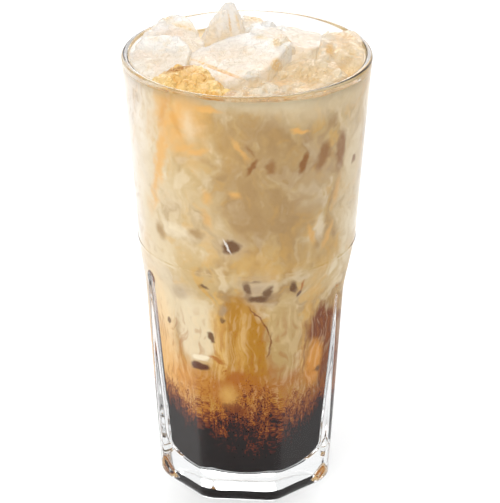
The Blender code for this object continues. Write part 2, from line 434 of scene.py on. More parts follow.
# Drink
drink = {
    "level": 0.0060,  # below the rim
    "meniscus": 0.0012,
    "meniscusFront": 0.0042,
    "meniscusReach": 0.0022,
    "ripple": 0.0004,
    "intoWall": 0.0002,
    "refraction": 1.34,
    "unrolledRadius": 28.0,  # millimetres of wall for each radian, where the marbling is laid out flat
    "darkTopFront": 22.0,  # millimetres up, where the coffee is dark all through
    "darkTopRise": 11.0,
    "darkTopMost": 29.0,
    "featherHeight": 27.0,
    "featherNarrowing": 1.75,  # towards the sides
    "dripReach": 34.0,  # how far drips, streaks and grain carry the dark coffee up and down
    "streakReach": 7.0,
    "grainReach": 11.0,
    "paleThreads": 0.22,
    "darkThreads": 0.38,
    "mottling": 0.35,
    "roughness": 0.5,
    "surfaceRoughness": 0.10,
    "mirrorTone": (0.97, 0.97, 0.97, 1.0),
}
levelZ = glass["height"] - drink["level"]


# What the glass does to a colour behind it: a pale veil lies over it, and each channel loses some.
behindGlass = {
    "veil": 0.026,
    "gains": (0.905, 0.857, 0.768),
    "darkest": 0.0015,
}


def seenAs(red, green, blue):  # the drink's own colour that shows as this one behind the glass
    own = []
    for shown, gain in zip(colour(red, green, blue), behindGlass["gains"]):
        own.append(max(behindGlass["darkest"], (shown - behindGlass["veil"]) / gain))
    return (*own, 1.0)


tones = {
    "latte": seenAs(197, 164, 112),
    "cream": seenAs(219, 195, 154),
    "paleCream": seenAs(234, 213, 176),
    "white": seenAs(240, 227, 208),
    "tan": seenAs(170, 135, 90),
    "paleTan": seenAs(184, 149, 94),
    "greyTan": seenAs(186, 158, 124),
    "orange": seenAs(224, 168, 96),
    "richOrange": seenAs(208, 140, 64),
    "paleOrange": seenAs(232, 200, 152),
    "gold": seenAs(206, 158, 86),
    "amber": seenAs(174, 120, 48),
    "deepAmber": seenAs(164, 96, 38),
    "brown": seenAs(124, 70, 34),
    "redBrown": seenAs(84, 49, 35),
    "slit": seenAs(142, 94, 56),
    "iceBrown": seenAs(112, 80, 58),
    "iceGrey": seenAs(160, 132, 102),
    "dark": seenAs(49, 42, 44),
}

# A mark: its tone, the column and row where the photograph shows it, its width and height in pixels,
# its lean in degrees, how soft its edge is and how strong it is.
# Besides the milk's own patches, the broad marks paint light across the drink: a painted reflection down the
# left edge, painted light at both edges and painted shade over the front.
broadMarks = [
    # painted reflection: the white band down the left edge
    ("white", 133, 165, 18, 210, 3, 0.8, 0.85),
    # painted light: the paler cream down the left side
    ("cream", 158, 215, 34, 160, 4, 0.9, 0.80),
    ("orange", 180, 118, 46, 60, 8, 0.7, 0.95),
    ("orange", 161, 164, 12, 94, 14, 0.7, 0.85),
    ("cream", 285, 99, 130, 24, 0, 0.9, 1.00),
    ("latte", 196, 150, 24, 44, 0, 0.8, 0.60),
    ("gold", 226, 148, 26, 54, -16, 0.8, 0.60),
    # partly the milk's own tan and partly painted shade over the front, where less light falls
    ("tan", 262, 145, 90, 80, 0, 0.9, 0.80),
    ("tan", 240, 195, 60, 80, 0, 0.9, 0.70),
    ("tan", 285, 220, 90, 90, 0, 0.9, 0.65),
    ("greyTan", 315, 175, 30, 60, 0, 0.9, 0.50),
    # painted light: the cream down the right edge
    ("cream", 350, 135, 16, 110, 0, 0.8, 0.60),
    ("cream", 350, 210, 14, 90, 0, 0.8, 0.70),
    ("cream", 203, 225, 40, 60, 0, 0.9, 0.35),
    ("gold", 270, 262, 74, 26, 0, 0.8, 0.50),
    ("cream", 262, 281, 80, 10, 0, 0.8, 0.50),
    ("gold", 325, 262, 20, 26, 0, 0.8, 0.50),
]
lowerMarks = [
    ("paleOrange", 165, 330, 13, 130, 0, 0.6, 0.90),
    ("orange", 167, 368, 15, 80, 0, 0.8, 0.85),
    ("cream", 178, 300, 26, 26, 0, 0.6, 0.70),
    ("cream", 193, 328, 33, 66, 0, 0.35, 0.95),
    ("richOrange", 184, 376, 28, 30, 0, 0.8, 0.80),
    ("gold", 220, 345, 17, 74, 0, 0.5, 0.80),
    ("amber", 248, 348, 42, 96, 0, 0.35, 1.00),
    ("amber", 237, 309, 20, 30, 16, 0.6, 0.90),
    ("gold", 240, 345, 10, 70, 8, 0.7, 0.60),
    ("paleTan", 286, 340, 31, 86, 0, 0.20, 1.00),
    ("latte", 286, 322, 20, 44, 0, 0.7, 0.60),
    ("gold", 306, 330, 8, 90, 0, 0.6, 0.70),
    ("brown", 321, 329, 29, 36, 32, 0.35, 1.00),
    ("brown", 330, 366, 16, 100, 0, 0.5, 1.00),
    ("richOrange", 313, 364, 15, 46, 0, 0.35, 1.00),
    ("redBrown", 322, 400, 26, 44, 0, 0.7, 0.90),
    ("deepAmber", 255, 386, 90, 22, 0, 0.9, 0.80),
]
fineMarks = [
    ("cream", 285, 101, 120, 17, 0, 0.9, 0.60),
    ("cream", 315, 108, 64, 26, 0, 0.9, 0.60),
    ("orange", 190, 108, 30, 16, 20, 0.9, 0.45),
    ("deepAmber", 236, 378, 18, 13, -30, 0.5, 0.85),
    ("deepAmber", 224, 392, 22, 26, 0, 0.5, 0.70),
    ("gold", 228, 395, 15, 19, 0, 0.9, 0.80),
    # painted shade: the thin brown arc beneath the drop above it
    ("brown", 237, 409, 26, 7, 6, 0.6, 0.80),
    ("paleCream", 202, 357, 17, 6, 0, 0.4, 0.95),
    ("redBrown", 200, 366, 18, 7, 0, 0.4, 0.90),
    ("deepAmber", 218, 360, 16, 4, 22, 0.5, 0.80),
    ("orange", 206, 109, 24, 6, 4, 0.5, 0.90),
    ("richOrange", 164, 108, 6, 34, 16, 0.8, 0.45),
    ("richOrange", 176, 122, 5, 26, -12, 0.8, 0.35),
    ("paleCream", 189, 127, 13, 24, -6, 0.9, 0.50),
    ("orange", 300, 131, 17, 5, 16, 0.5, 0.90),
    ("slit", 252, 167, 6, 17, 24, 0.5, 0.90),
    ("slit", 271, 167, 9, 13, 0, 0.6, 0.70),
    ("slit", 304, 162, 7, 19, 16, 0.4, 0.95),
    ("slit", 323, 156, 11, 27, 14, 0.5, 0.75),
    ("slit", 341, 148, 8, 36, 0, 0.5, 0.80),
    ("slit", 353, 159, 3, 7, 0, 0.5, 0.85),
    ("orange", 240, 150, 6, 22, -24, 0.6, 0.60),
    ("orange", 196, 152, 20, 6, -24, 0.6, 0.70),
    ("slit", 250, 150, 5, 12, -20, 0.7, 0.50),
    ("orange", 207, 197, 9, 12, 0, 0.9, 0.60),
    ("orange", 207, 219, 8, 16, -14, 0.9, 0.55),
    ("orange", 234, 195, 13, 6, 24, 0.8, 0.70),
    ("orange", 336, 190, 5, 26, 8, 0.8, 0.50),
    ("orange", 183, 148, 24, 5, -30, 0.8, 0.60),
    ("paleCream", 179, 231, 36, 11, 0, 0.8, 0.65),
    ("tan", 161, 230, 8, 15, -10, 0.7, 0.90),
    ("tan", 196, 234, 15, 9, 8, 0.7, 0.90),
    ("greyTan", 231, 247, 30, 22, -28, 0.6, 0.60),
    ("iceBrown", 231, 247, 19, 12, -28, 0.35, 0.95),
    ("white", 227, 246, 2.2, 13, -18, 0.6, 0.75),
    ("greyTan", 257, 291, 34, 26, 0, 0.6, 0.55),
    ("iceBrown", 247, 289, 8, 13, -8, 0.5, 0.90),
    ("iceBrown", 257, 299, 22, 6, 4, 0.5, 0.95),
    ("iceBrown", 268, 292, 8, 11, 16, 0.5, 0.90),
    ("iceBrown", 256, 282, 12, 3, 0, 0.7, 0.50),
    ("greyTan", 256, 290, 11, 8, 0, 0.6, 0.80),
    ("iceBrown", 293, 286, 6, 12, -16, 0.4, 0.95),
    ("iceBrown", 299, 293, 4, 5, 0, 0.4, 0.95),
    ("deepAmber", 302, 286, 3, 9, 10, 0.5, 0.80),
    ("iceBrown", 204, 287, 8, 5, 0, 0.5, 0.85),
    ("gold", 209, 296, 4, 20, -24, 0.6, 0.70),
    ("orange", 311, 234, 5, 20, -16, 0.6, 0.60),
    ("orange", 327, 234, 5, 22, 20, 0.6, 0.60),
    ("paleCream", 319, 228, 9, 22, 0, 0.6, 0.60),
    ("iceBrown", 212, 337, 6, 10, -32, 0.4, 0.95),
    ("iceBrown", 170, 320, 4, 5, 0, 0.4, 0.85),
    ("iceGrey", 222, 311, 9, 10, 0, 0.5, 0.70),
    ("iceBrown", 223, 320, 5, 5, 0, 0.5, 0.80),
    ("iceBrown", 317, 368, 4, 6, 0, 0.5, 0.90),
    ("brown", 256, 315, 2.0, 19, -40, 0.6, 0.80),
    ("brown", 266, 329, 2.0, 17, -30, 0.6, 0.80),
    ("brown", 270.5, 343, 2.0, 16, 0, 0.6, 0.80),
    ("brown", 268.5, 354, 2.0, 9, 14, 0.6, 0.70),
    ("iceGrey", 180, 292, 18, 10, -30, 0.6, 0.50),
    ("brown", 304, 350, 2.0, 44, 0, 0.7, 0.50),
]


def seenAt(column, row):  # where on the wall of the drink a pixel of the photograph lands, through the glass
    cosine, sine = math.cos(photo["lookDown"]), math.sin(photo["lookDown"])
    across = (column - photo["axisColumn"]) / photo["focalPixels"]
    up = (photo["middleRow"] - row) / photo["focalPixels"]
    ray = Vector((across, cosine + up * sine, up * cosine - sine)).normalized()

    def outside(point):
        return math.hypot(point.x, point.y) - outerRadius(math.atan2(point.x, -point.y), point.z)

    point = Vector((0, -photo["distance"], photo["eyeHeight"])) + ray * (photo["distance"] - 0.02)
    while outside(point) > 0:
        point += ray * 0.0003
        if point.y > 0.01:
            point.x *= 0.97  # the pixel lies just beside the glass
            break
    nudges = [Vector([0.0002 if i == j else 0.0 for j in range(3)]) for i in range(3)]
    normal = Vector([outside(point + n) - outside(point - n) for n in nudges]).normalized()
    ratio = 1 / glass["refraction"]
    facing = -normal.dot(ray)
    bent = ray * ratio + normal * (ratio * facing - math.sqrt(1 - ratio * ratio * (1 - facing * facing)))
    for _ in range(200):
        if math.hypot(point.x, point.y) < boreRadius(point.z):
            break
        point += bent * 0.0002
    return Vector((math.atan2(point.x, -point.y) * drink["unrolledRadius"], 0, point.z * 1000))


def spotGroup():  # an oval with a soft edge, laid on the unrolled wall
    tree = bpy.data.node_groups.new("wallSpot", "ShaderNodeTree")
    for name in ("Chart", "Centre", "Across", "Up"):  # Across and Up are divided by the half sizes
        tree.interface.new_socket(name, in_out="INPUT", socket_type="NodeSocketVector")
    tree.interface.new_socket("Softness", in_out="INPUT", socket_type="NodeSocketFloat")
    tree.interface.new_socket("Mask", in_out="OUTPUT", socket_type="NodeSocketFloat")
    graph = Graph(tree)
    given = graph.add("NodeGroupInput").outputs
    put = graph.add("NodeGroupOutput").inputs
    apart = graph.vector("SUBTRACT", given["Chart"], given["Centre"])
    across = graph.vector("DOT_PRODUCT", apart, given["Across"])
    up = graph.vector("DOT_PRODUCT", apart, given["Up"])
    away = graph.math("MULTIPLY_ADD", across, across, graph.math("MULTIPLY", up, up))
    away = graph.math("SQRT", away)
    low = graph.math("SUBTRACT", 1.0, given["Softness"])
    high = graph.math("ADD", 1.0, given["Softness"])
    graph.put(put["Mask"], graph.fade(away, high, low))
    return tree


def layMarks(graph, group, chart, tone, marks, patchy):
    for name, column, row, width, height, lean, soft, strength in marks:
        side = seenAt(column + width / 2, row) - seenAt(column - width / 2, row)
        rise = seenAt(column, row - height / 2) - seenAt(column, row + height / 2)
        cosine, sine = math.cos(math.radians(lean)), math.sin(math.radians(lean))
        spot = graph.add("ShaderNodeGroup", node_tree=group)
        graph.put(spot.inputs["Chart"], chart)
        spot.inputs["Centre"].default_value = seenAt(column, row)
        spot.inputs["Across"].default_value = Vector((cosine, 0, -sine)) / max(0.3, abs(side.x) / 2)
        spot.inputs["Up"].default_value = Vector((sine, 0, cosine)) / max(0.3, abs(rise.z) / 2)
        spot.inputs["Softness"].default_value = soft
        share = graph.math("MULTIPLY", graph.math("MULTIPLY", spot.outputs["Mask"], strength), patchy)
        tone = graph.blend(share, tone, tones[name])
    return tone


def drinkMaterial():
    material, graph, shader, output = newMaterial("layeredCoffee")
    place = graph.add("ShaderNodeTexCoord").outputs["Object"]
    p = graph.vector("SCALE", place, scale=1000.0)
    x, y, z = graph.split(p)

    def wobbled(vector, scale, reach, detail=2.0):
        swing = graph.vector("SUBTRACT", graph.noise(p, scale, detail=detail, out="Color"), (0.5, 0.5, 0.5))
        return graph.vector("ADD", vector, graph.vector("MULTIPLY", swing, reach))

    azimuth = graph.math("ARCTAN2", x, graph.math("MULTIPLY", y, -1.0))
    chart = graph.join(graph.math("MULTIPLY", azimuth, drink["unrolledRadius"]), 0.0, z)
    broadChart = wobbled(wobbled(chart, 0.08, (14, 0, 20)), 0.40, (3.0, 0, 5.0))
    lowerChart = wobbled(wobbled(chart, 0.10, (7, 0, 12)), 0.42, (2.6, 0, 5.5), detail=3)
    fineChart = wobbled(chart, 0.34, (2.6, 0, 3.0), detail=3)
    folded = wobbled(wobbled(p, 0.055, (30, 30, 34)), 0.19, (8, 8, 11))
    drawn = graph.vector("MULTIPLY", folded, (1, 1, 0.40))

    # The plain mix: latte with tan and cream clouds, and pale brush strokes.
    clouds = graph.noise(drawn, 0.10, detail=2, roughness=0.45)
    tone = graph.blend(graph.fade(clouds, 0.54, 0.34), tones["latte"], tones["tan"])
    tone = graph.blend(graph.fade(clouds, 0.54, 0.70), tone, tones["cream"])
    strokes = graph.noise(graph.vector("ADD", drawn, (40, 11, 7)), 0.16, detail=2, roughness=0.5)
    tone = graph.blend(graph.fade(strokes, 0.52, 0.68, end=0.36), tone, tones["paleCream"])
    tone = graph.blend(graph.fade(strokes, 0.47, 0.32, end=0.65), tone, tones["gold"])

    # Lower down the mix turns amber, with threads that hang in it.
    hanging = graph.noise(graph.vector("MULTIPLY", folded, (1, 1, 0.16)), 0.22, detail=3, roughness=0.55)
    hung = wobbled(p, 0.07, (10, 10, 0))
    threads = graph.noise(graph.vector("MULTIPLY", hung, (1, 1, 0.06)), 0.75, detail=1, roughness=0.5)
    amberHeight = graph.math("MULTIPLY_ADD", hanging, 46.0, z)
    tone = graph.blend(graph.fade(amberHeight, 92, 66, end=0.85), tone, tones["amber"])
    patchy = graph.fade(graph.noise(drawn, 0.26, detail=3), 0.30, 0.54, start=0.50)
    group = spotGroup()
    tone = layMarks(graph, group, broadChart, tone, broadMarks, patchy)
    tone = layMarks(graph, group, lowerChart, tone, lowerMarks, 1.0)
    threadShare = graph.math("MULTIPLY", graph.fade(z, 82, 66), graph.fade(threads, 0.50, 0.66))
    threadShare = graph.math("MULTIPLY", threadShare, drink["paleThreads"])
    tone = graph.blend(threadShare, tone, tones["paleOrange"])
    threadShare = graph.math("MULTIPLY", graph.fade(z, 76, 60), graph.fade(threads, 0.46, 0.32))
    threadShare = graph.math("MULTIPLY", threadShare, drink["darkThreads"])
    tone = graph.blend(threadShare, tone, tones["deepAmber"])

    # The dark coffee at the foot, with a feathered and grainy top.
    around = graph.math("SUBTRACT", 1.0, graph.math("COSINE", azimuth))
    top = graph.math("MULTIPLY_ADD", around, drink["darkTopRise"], drink["darkTopFront"])
    top = graph.math("MINIMUM", top, drink["darkTopMost"])
    pulled = wobbled(wobbled(p, 0.09, (12, 12, 10)), 0.30, (3, 3, 3))
    drips = graph.noise(graph.vector("MULTIPLY", pulled, (1, 1, 0.30)), 0.26, detail=3, roughness=0.6)
    streaks = graph.fade(graph.noise(graph.vector("MULTIPLY", p, (1, 1, 0.30)), 0.85, detail=2), 0.36, 0.64)
    grain = graph.fade(graph.noise(graph.vector("MULTIPLY", p, (1, 1, 0.85)), 1.9, detail=3), 0.38, 0.62)
    above = graph.math("SUBTRACT", z, top)
    sideways = graph.math("POWER", graph.math("SINE", azimuth), 2.0)
    narrowing = graph.math("MULTIPLY_ADD", sideways, drink["featherNarrowing"], 1.0)
    above = graph.math("MULTIPLY", above, narrowing)
    above = graph.math("MULTIPLY_ADD", graph.math("SUBTRACT", drips, 0.5), drink["dripReach"], above)
    above = graph.math("MULTIPLY_ADD", graph.math("SUBTRACT", streaks, 0.5), drink["streakReach"], above)
    above = graph.math("MULTIPLY_ADD", graph.math("SUBTRACT", grain, 0.5), drink["grainReach"], above)
    foot = graph.ramp(graph.math("DIVIDE", above, drink["featherHeight"]), [
        (0.0, tones["dark"]),
        (0.16, tones["redBrown"]),
        (0.42, tones["brown"]),
        (0.70, tones["deepAmber"]),
        (1.0, tones["amber"]),
    ])
    tone = graph.blend(graph.fade(above, drink["featherHeight"] + 3.0, 12.0), tone, foot)

    tone = layMarks(graph, group, fineChart, tone, fineMarks, 1.0)
    mottle = graph.noise(p, 0.55, detail=3, roughness=0.6)
    shade = graph.ramp(mottle, [(0.3, (0.42, 0.42, 0.42, 1)), (0.7, (0.58, 0.58, 0.58, 1))])
    tone = graph.blend(drink["mottling"], tone, shade, kind="SOFT_LIGHT")
    graph.put(shader.inputs["Base Color"], tone)
    shader.inputs["Roughness"].default_value = drink["roughness"]
    shader.inputs["Specular IOR Level"].default_value = 0.0
    # Glass on coffee mirrors every ray that meets it at a flatter angle than the critical one.
    mirror = graph.add("ShaderNodeBsdfAnisotropic")
    mirror.inputs["Roughness"].default_value = 0.0
    mirror.inputs["Color"].default_value = drink["mirrorTone"]
    facing = graph.add("ShaderNodeLayerWeight")
    critical = 1 - math.sqrt(1 - (drink["refraction"] / glass["refraction"]) ** 2)
    either = graph.add("ShaderNodeMixShader")
    graph.put(either.inputs[0], graph.fade(facing.outputs["Facing"], critical - 0.02, critical))
    graph.put(either.inputs[1], shader.outputs[0])
    graph.put(either.inputs[2], mirror.outputs[0])
    graph.put(output.inputs["Surface"], either.outputs[0])
    return material


def surfaceMaterial():
    material, graph, shader, output = newMaterial("coffeeSurface")
    place = graph.add("ShaderNodeTexCoord").outputs["Object"]
    p = graph.vector("SCALE", place, scale=1000.0)
    swirl = graph.noise(p, 0.12, detail=4, distortion=1.5)
    tone = graph.ramp(swirl, [(0.35, tones["orange"]), (0.5, tones["latte"]), (0.65, tones["cream"])])
    graph.put(shader.inputs["Base Color"], tone)
    shader.inputs["Roughness"].default_value = drink["surfaceRoughness"]
    return material


def surfaceStation(away):  # the drink's top near the wall, where it creeps up, most of all at the front
    def place(azimuth):
        front = (0.5 + 0.5 * math.cos(azimuth + 0.2)) ** 1.5
        ripple = noise.fractal(Vector((math.sin(azimuth), math.cos(azimuth), 0.3)) * 3, 1.0, 2.0, 3)
        climb = mix(drink["meniscus"], drink["meniscusFront"], front) + ripple * drink["ripple"]
        z = levelZ + climb * math.exp(-max(0.0, away) / drink["meniscusReach"])
        return onCircle(azimuth, boreWallRadius(z) - away, z)
    return place


def buildDrink():
    cornerZ = glass["floorZ"] + glass["floorCorner"]
    into = drink["intoWall"]
    stations = [roundStation(radius, glass["floorZ"] - into) for radius in glass["innerRings"]]
    for angle in steps(math.pi / 2, 0.0, 12):
        reach = glass["floorCorner"] + into
        radius = glass["boreFootRadius"] - glass["floorCorner"] + reach * math.cos(angle)
        stations.append(roundStation(radius, cornerZ - reach * math.sin(angle)))
    stations += [roundStation(boreWallRadius(z) + into, z) for z in steps(cornerZ, levelZ - 0.001, 90)[1:]]
    for away in (-into, 0.0002, 0.0006, 0.0011, 0.0017, 0.0024, 0.0032, 0.0042, 0.0055, 0.0072, 0.0095):
        stations.append(surfaceStation(away))
    wall = boreWallRadius(levelZ)
    stations += [roundStation(wall * t, levelZ) for t in (0.62, 0.50, 0.38, 0.26, 0.14)]
    azimuths = [2 * math.pi * i / 192 for i in range(192)]
    mesh = lathe(azimuths, stations, Vector((0, 0, glass["floorZ"] - into)), Vector((0, 0, levelZ)))
    made = meshObject("drink", mesh, drinkMaterial())
    made.data.materials.append(surfaceMaterial())
    for face in made.data.polygons:
        if face.center.z > levelZ - 0.0001 and face.normal.z > 0.25:
            face.material_index = 1
    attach(made, "root")
    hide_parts("dark_coffee", "amber_coffee", "milk_coffee")


buildDrink()
print("drink built")


# Ice: the ten broken pieces that stand out of the drink, in millimetres and degrees
iceForm = {
    "sharpness": 12,
    "slant": 0.20,
    "chips": 8,
    "draught": 0.0200,
    "wallGap": 0.0006,
    "overlap": 0.0004,  # the pieces freeze together where they touch
    "columns": 150,
    "rows": 96,
    "hollows": (150, 0.0013),  # how many to a metre and how deep
    "chipMarks": (390, 0.00045),
    "melting": (420, 0.00016),
    "grainCount": 700,
    "proud": 0.0004,  # how far the skin stands out where nothing has dented it
    "refraction": 1.31,
    "bumpStrength": 0.7,
    "bumpDistance": 0.0004,
    "shadowTone": (0.975, 0.970, 0.955, 1.0),
    "tintHeight": 0.004,  # above the level, where the tints are laid
}
icePieces = [
    {"name": "ice_shard", "centre": (-7.5, 19, 146.0), "half": (6.7, 4.2, 13.0), "turn": (-8, 8, 10),
     "taper": (0.55, 0.30), "lumps": 0.04, "seed": 3, "kind": "cloudy"},
    {"name": "ice_back", "centre": (2, 27, 143.5), "half": (5.5, 5, 6), "turn": (6, 10, -15),
     "lumps": 0.08, "seed": 7, "kind": "cloudy"},
    {"name": "ice_left", "centre": (-25, 14, 143.2), "half": (13, 12, 5.4), "turn": (4, -6, 25),
     "lumps": 0.07, "seed": 5, "kind": "cloudy"},
    {"name": "ice_left_front", "centre": (-28, -6, 143.2), "half": (10, 12, 7), "turn": (6, 8, -20),
     "lumps": 0.07, "seed": 8, "kind": "cloudy"},
    {"name": "ice_slab", "centre": (-4, -9, 145.0), "half": (20, 17, 6), "turn": (7, -3, 30),
     "lumps": 0.04, "seed": 11, "kind": "cloudy"},
    {"name": "ice_front_left", "centre": (-19, -24, 142.8), "half": (11, 9, 6), "turn": (8, 0, -35),
     "lumps": 0.10, "seed": 13, "kind": "granular"},
    {"name": "ice_rear", "centre": (14, 8.5, 143.8), "half": (15, 12.5, 7.5), "turn": (-5, 4, 15),
     "lumps": 0.07, "seed": 17, "kind": "cloudy"},
    {"name": "ice_right", "centre": (30, 2, 144.0), "half": (8, 11, 7), "turn": (0, 8, 5),
     "lumps": 0.07, "seed": 21, "kind": "clear"},
    {"name": "ice_front_right", "centre": (19, -19, 142.8), "half": (13, 12, 6.5), "turn": (7, 5, -30),
     "lumps": 0.10, "seed": 24, "kind": "clear"},
    {"name": "ice_front", "centre": (1, -32, 142.4), "half": (10, 5, 6), "turn": (6, 0, 4),
     "lumps": 0.10, "seed": 29, "kind": "clear"},
]
iceKinds = {
    "cloudy": {"transmission": 0.55, "roughness": 0.09, "tone": colour(249, 251, 253),
               "warm": colour(245, 219, 160), "warmth": 0.35, "deepWarmth": 0.85,
               "grains": 0.00005, "cracks": 0.5},
    "clear": {"transmission": 0.70, "roughness": 0.07, "tone": colour(252, 246, 232),
              "warm": colour(242, 204, 138), "warmth": 0.55, "deepWarmth": 0.85,
              "grains": 0.00024, "cracks": 0.8},
    "granular": {"transmission": 0.36, "roughness": 0.06, "tone": colour(255, 226, 160),
                 "warm": colour(246, 188, 98), "warmth": 0.75, "deepWarmth": 0.9,
                 "grains": 0.00040, "cracks": 1.1},
}
crumbForm = {
    "seed": 41,
    "smallest": 0.0007,
    "largest": 0.0026,
    "planes": 8,
    "longest": 1.3,  # times its size
    "sunk": 0.75,
    "wallGap": 0.0003,
    "dropFrom": 170,  # millimetres up, above all the ice
}
# Where crumbs lie: the middle in millimetres, the spread, how many and which kind of ice.
crumbHeaps = [
    (-19, -25, 7.0, 44, "granular"),
    (-11, -29, 5.0, 22, "granular"),
    (20, -20, 8.0, 44, "clear"),
    (5, -30, 7.0, 30, "clear"),
    (29, -4, 6.0, 20, "clear"),
    (12, -5, 4.0, 10, "clear"),
    (4, 16, 7.0, 12, "cloudy"),
]


iceTones = {
    "honey": colour(247, 224, 178),
    "gold": colour(240, 200, 124),
    "amber": colour(228, 158, 66),
    "brown": colour(168, 98, 40),
    "white": colour(255, 255, 255),
    # painted shade: a bluish grey laid on the ice
    "paintedShadeGrey": colour(214, 220, 226),
}
# Where coffee tints the ice, and where the grey marks paint bluish shade on it: the tone, then the column,
# row, width, height, lean, softness and strength that it has in the photograph.
iceMarks = [
    ("honey", 308, 75, 62, 26, 0, 0.8, 0.80),
    ("honey", 346, 60, 20, 30, 0, 0.8, 0.60),
    ("amber", 190, 79, 50, 24, 8, 0.6, 0.40),
    ("brown", 178, 71, 28, 4, -14, 0.8, 0.90),
    ("gold", 217, 70, 54, 3.4, 26, 0.6, 1.00),
    ("amber", 221, 73, 34, 1.6, 26, 0.6, 0.90),
    ("gold", 276, 67, 11, 13, 0, 0.5, 0.90),
    ("honey", 276, 46, 9, 14, 12, 0.7, 0.80),
    ("gold", 329, 52, 9, 14, 0, 0.6, 0.90),
    ("gold", 343, 38, 24, 5, 8, 0.6, 0.80),
    ("gold", 146, 27, 15, 6, -30, 0.6, 0.80),
    ("honey", 184, 29, 26, 4, 20, 0.7, 0.90),
    ("honey", 168, 21, 12, 4, 0, 0.7, 0.80),
    ("gold", 230, 27, 2.6, 22, -8, 0.7, 0.85),
    ("honey", 238, 26, 3.0, 18, -14, 0.7, 0.80),
    ("gold", 256, 20, 24, 9, 0, 0.8, 0.80),
    ("honey", 262, 42, 20, 5, 6, 0.7, 0.70),
    # painted shade: the grey marks darken the ice where shade falls on it
    ("paintedShadeGrey", 170, 53, 20, 3, 24, 0.7, 0.60),
    ("paintedShadeGrey", 230, 50, 60, 12, 0, 0.9, 0.25),
]


def iceFaces(piece):  # the flat faces that the piece broke along, as normals and distances
    draw = random.Random(piece["seed"])
    faces = []
    for axis in range(3):
        for side in (-1, 1):
            normal = Vector([draw.uniform(-iceForm["slant"], iceForm["slant"]) for _ in range(3)])
            normal[axis] = side
            if axis < 2:
                normal.z += piece.get("taper", (0, 0))[axis]  # a tapered piece comes to a point
            faces.append((normal.normalized(), piece["half"][axis] * 0.001))
    for _ in range(iceForm["chips"]):
        normal = Vector([draw.choice((-1, 1)) * draw.uniform(0.5, 1.0) for _ in range(3)]).normalized()
        reach = sum(abs(normal[i]) * piece["half"][i] for i in range(3)) * 0.001
        faces.append((normal, reach * draw.uniform(0.70, 0.86)))
    return faces


def wallReach(centre, direction):  # how far it is to the wall of the bore
    across = Vector((direction.x, direction.y))
    start = Vector((centre.x, centre.y))
    if across.length < 0.05:
        return 1.0
    reach = 0.0
    for _ in range(4):
        z = min(glass["height"], max(levelZ - iceForm["draught"], centre.z + reach * direction.z))
        wall = boreWallRadius(z) - iceForm["wallGap"]
        a, b = across.dot(across), start.dot(across)
        reach = (-b + math.sqrt(max(0.0, b * b - a * (start.dot(start) - wall * wall)))) / a
    return reach


def buildIcePiece(piece, material):
    centre = Vector(piece["centre"]) * 0.001
    size = sum(piece["half"])
    offset = Vector((piece["seed"] * 3.1, piece["seed"] * 1.7, -piece["seed"] * 2.3))
    toLocal = Euler([math.radians(a) for a in piece["turn"]]).to_matrix().transposed()
    faces = iceFaces(piece)
    neighbours = []
    for other in icePieces:
        if other is not piece:
            apart = Vector(other["centre"]) * 0.001 - centre
            share = size / (size + sum(other["half"]))
            neighbours.append((apart.normalized(), apart.length * share + iceForm["overlap"]))
    sharpness = iceForm["sharpness"]
    grains = iceKinds[piece["kind"]]["grains"]
    hollows, hollowDepth = iceForm["hollows"]
    chips, chipDepth = iceForm["chipMarks"]
    melting, meltDepth = iceForm["melting"]
    mesh = bmesh.new()
    bmesh.ops.create_uvsphere(mesh, u_segments=iceForm["columns"], v_segments=iceForm["rows"], radius=1.0)
    for vert in mesh.verts:
        direction = vert.co.normalized()
        local = toLocal @ direction
        total = sum((n.dot(local) / d) ** sharpness for n, d in faces if n.dot(local) > 0)
        reach = total ** (-1 / sharpness)
        reach *= 1 + piece["lumps"] * noise.fractal(local * 2.1 + offset, 0.9, 2.1, 3)
        for normal, most in neighbours:
            facing = direction.dot(normal)
            if facing > 0.01:
                reach = min(reach, most / facing)
        reach = min(reach, wallReach(centre, direction))
        point = centre + direction * reach
        cell = noise.voronoi(point * iceForm["grainCount"] + offset, distance_metric="DISTANCE")[0]
        broken = noise.voronoi(point * hollows + offset)[0]
        chipped = noise.voronoi(point * chips + offset)[0]
        dent = iceForm["proud"] - (broken[1] - broken[0]) * hollowDepth
        dent -= (chipped[1] - chipped[0]) * chipDepth
        melt = noise.fractal(point * melting + offset, 0.8, 2.0, 3) * meltDepth
        vert.co = point + direction * (dent + melt + grains * (0.55 - min(1.0, cell[0])) * 1.6)
        vert.co.z = min(vert.co.z, cadBox[1][2] - 0.0001)
    made = meshObject("visual_" + piece["name"], mesh, material)
    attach(made, "root")
    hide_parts(piece["name"])
    return made


def addCrumb(mesh, draw, place, size):  # a chip bounded by flat planes
    planes = []
    for _ in range(crumbForm["planes"]):
        normal = Vector([draw.gauss(0, 1) for _ in range(3)]).normalized()
        planes.append((normal, size * draw.uniform(0.6, 1.0)))
    chip = bmesh.ops.create_icosphere(mesh, subdivisions=3, radius=1.0)["verts"]
    for vert in chip:
        direction = vert.co.normalized()
        reaches = [d / n.dot(direction) for n, d in planes if n.dot(direction) > 0.05]
        vert.co = place + direction * min(reaches + [crumbForm["longest"] * size])


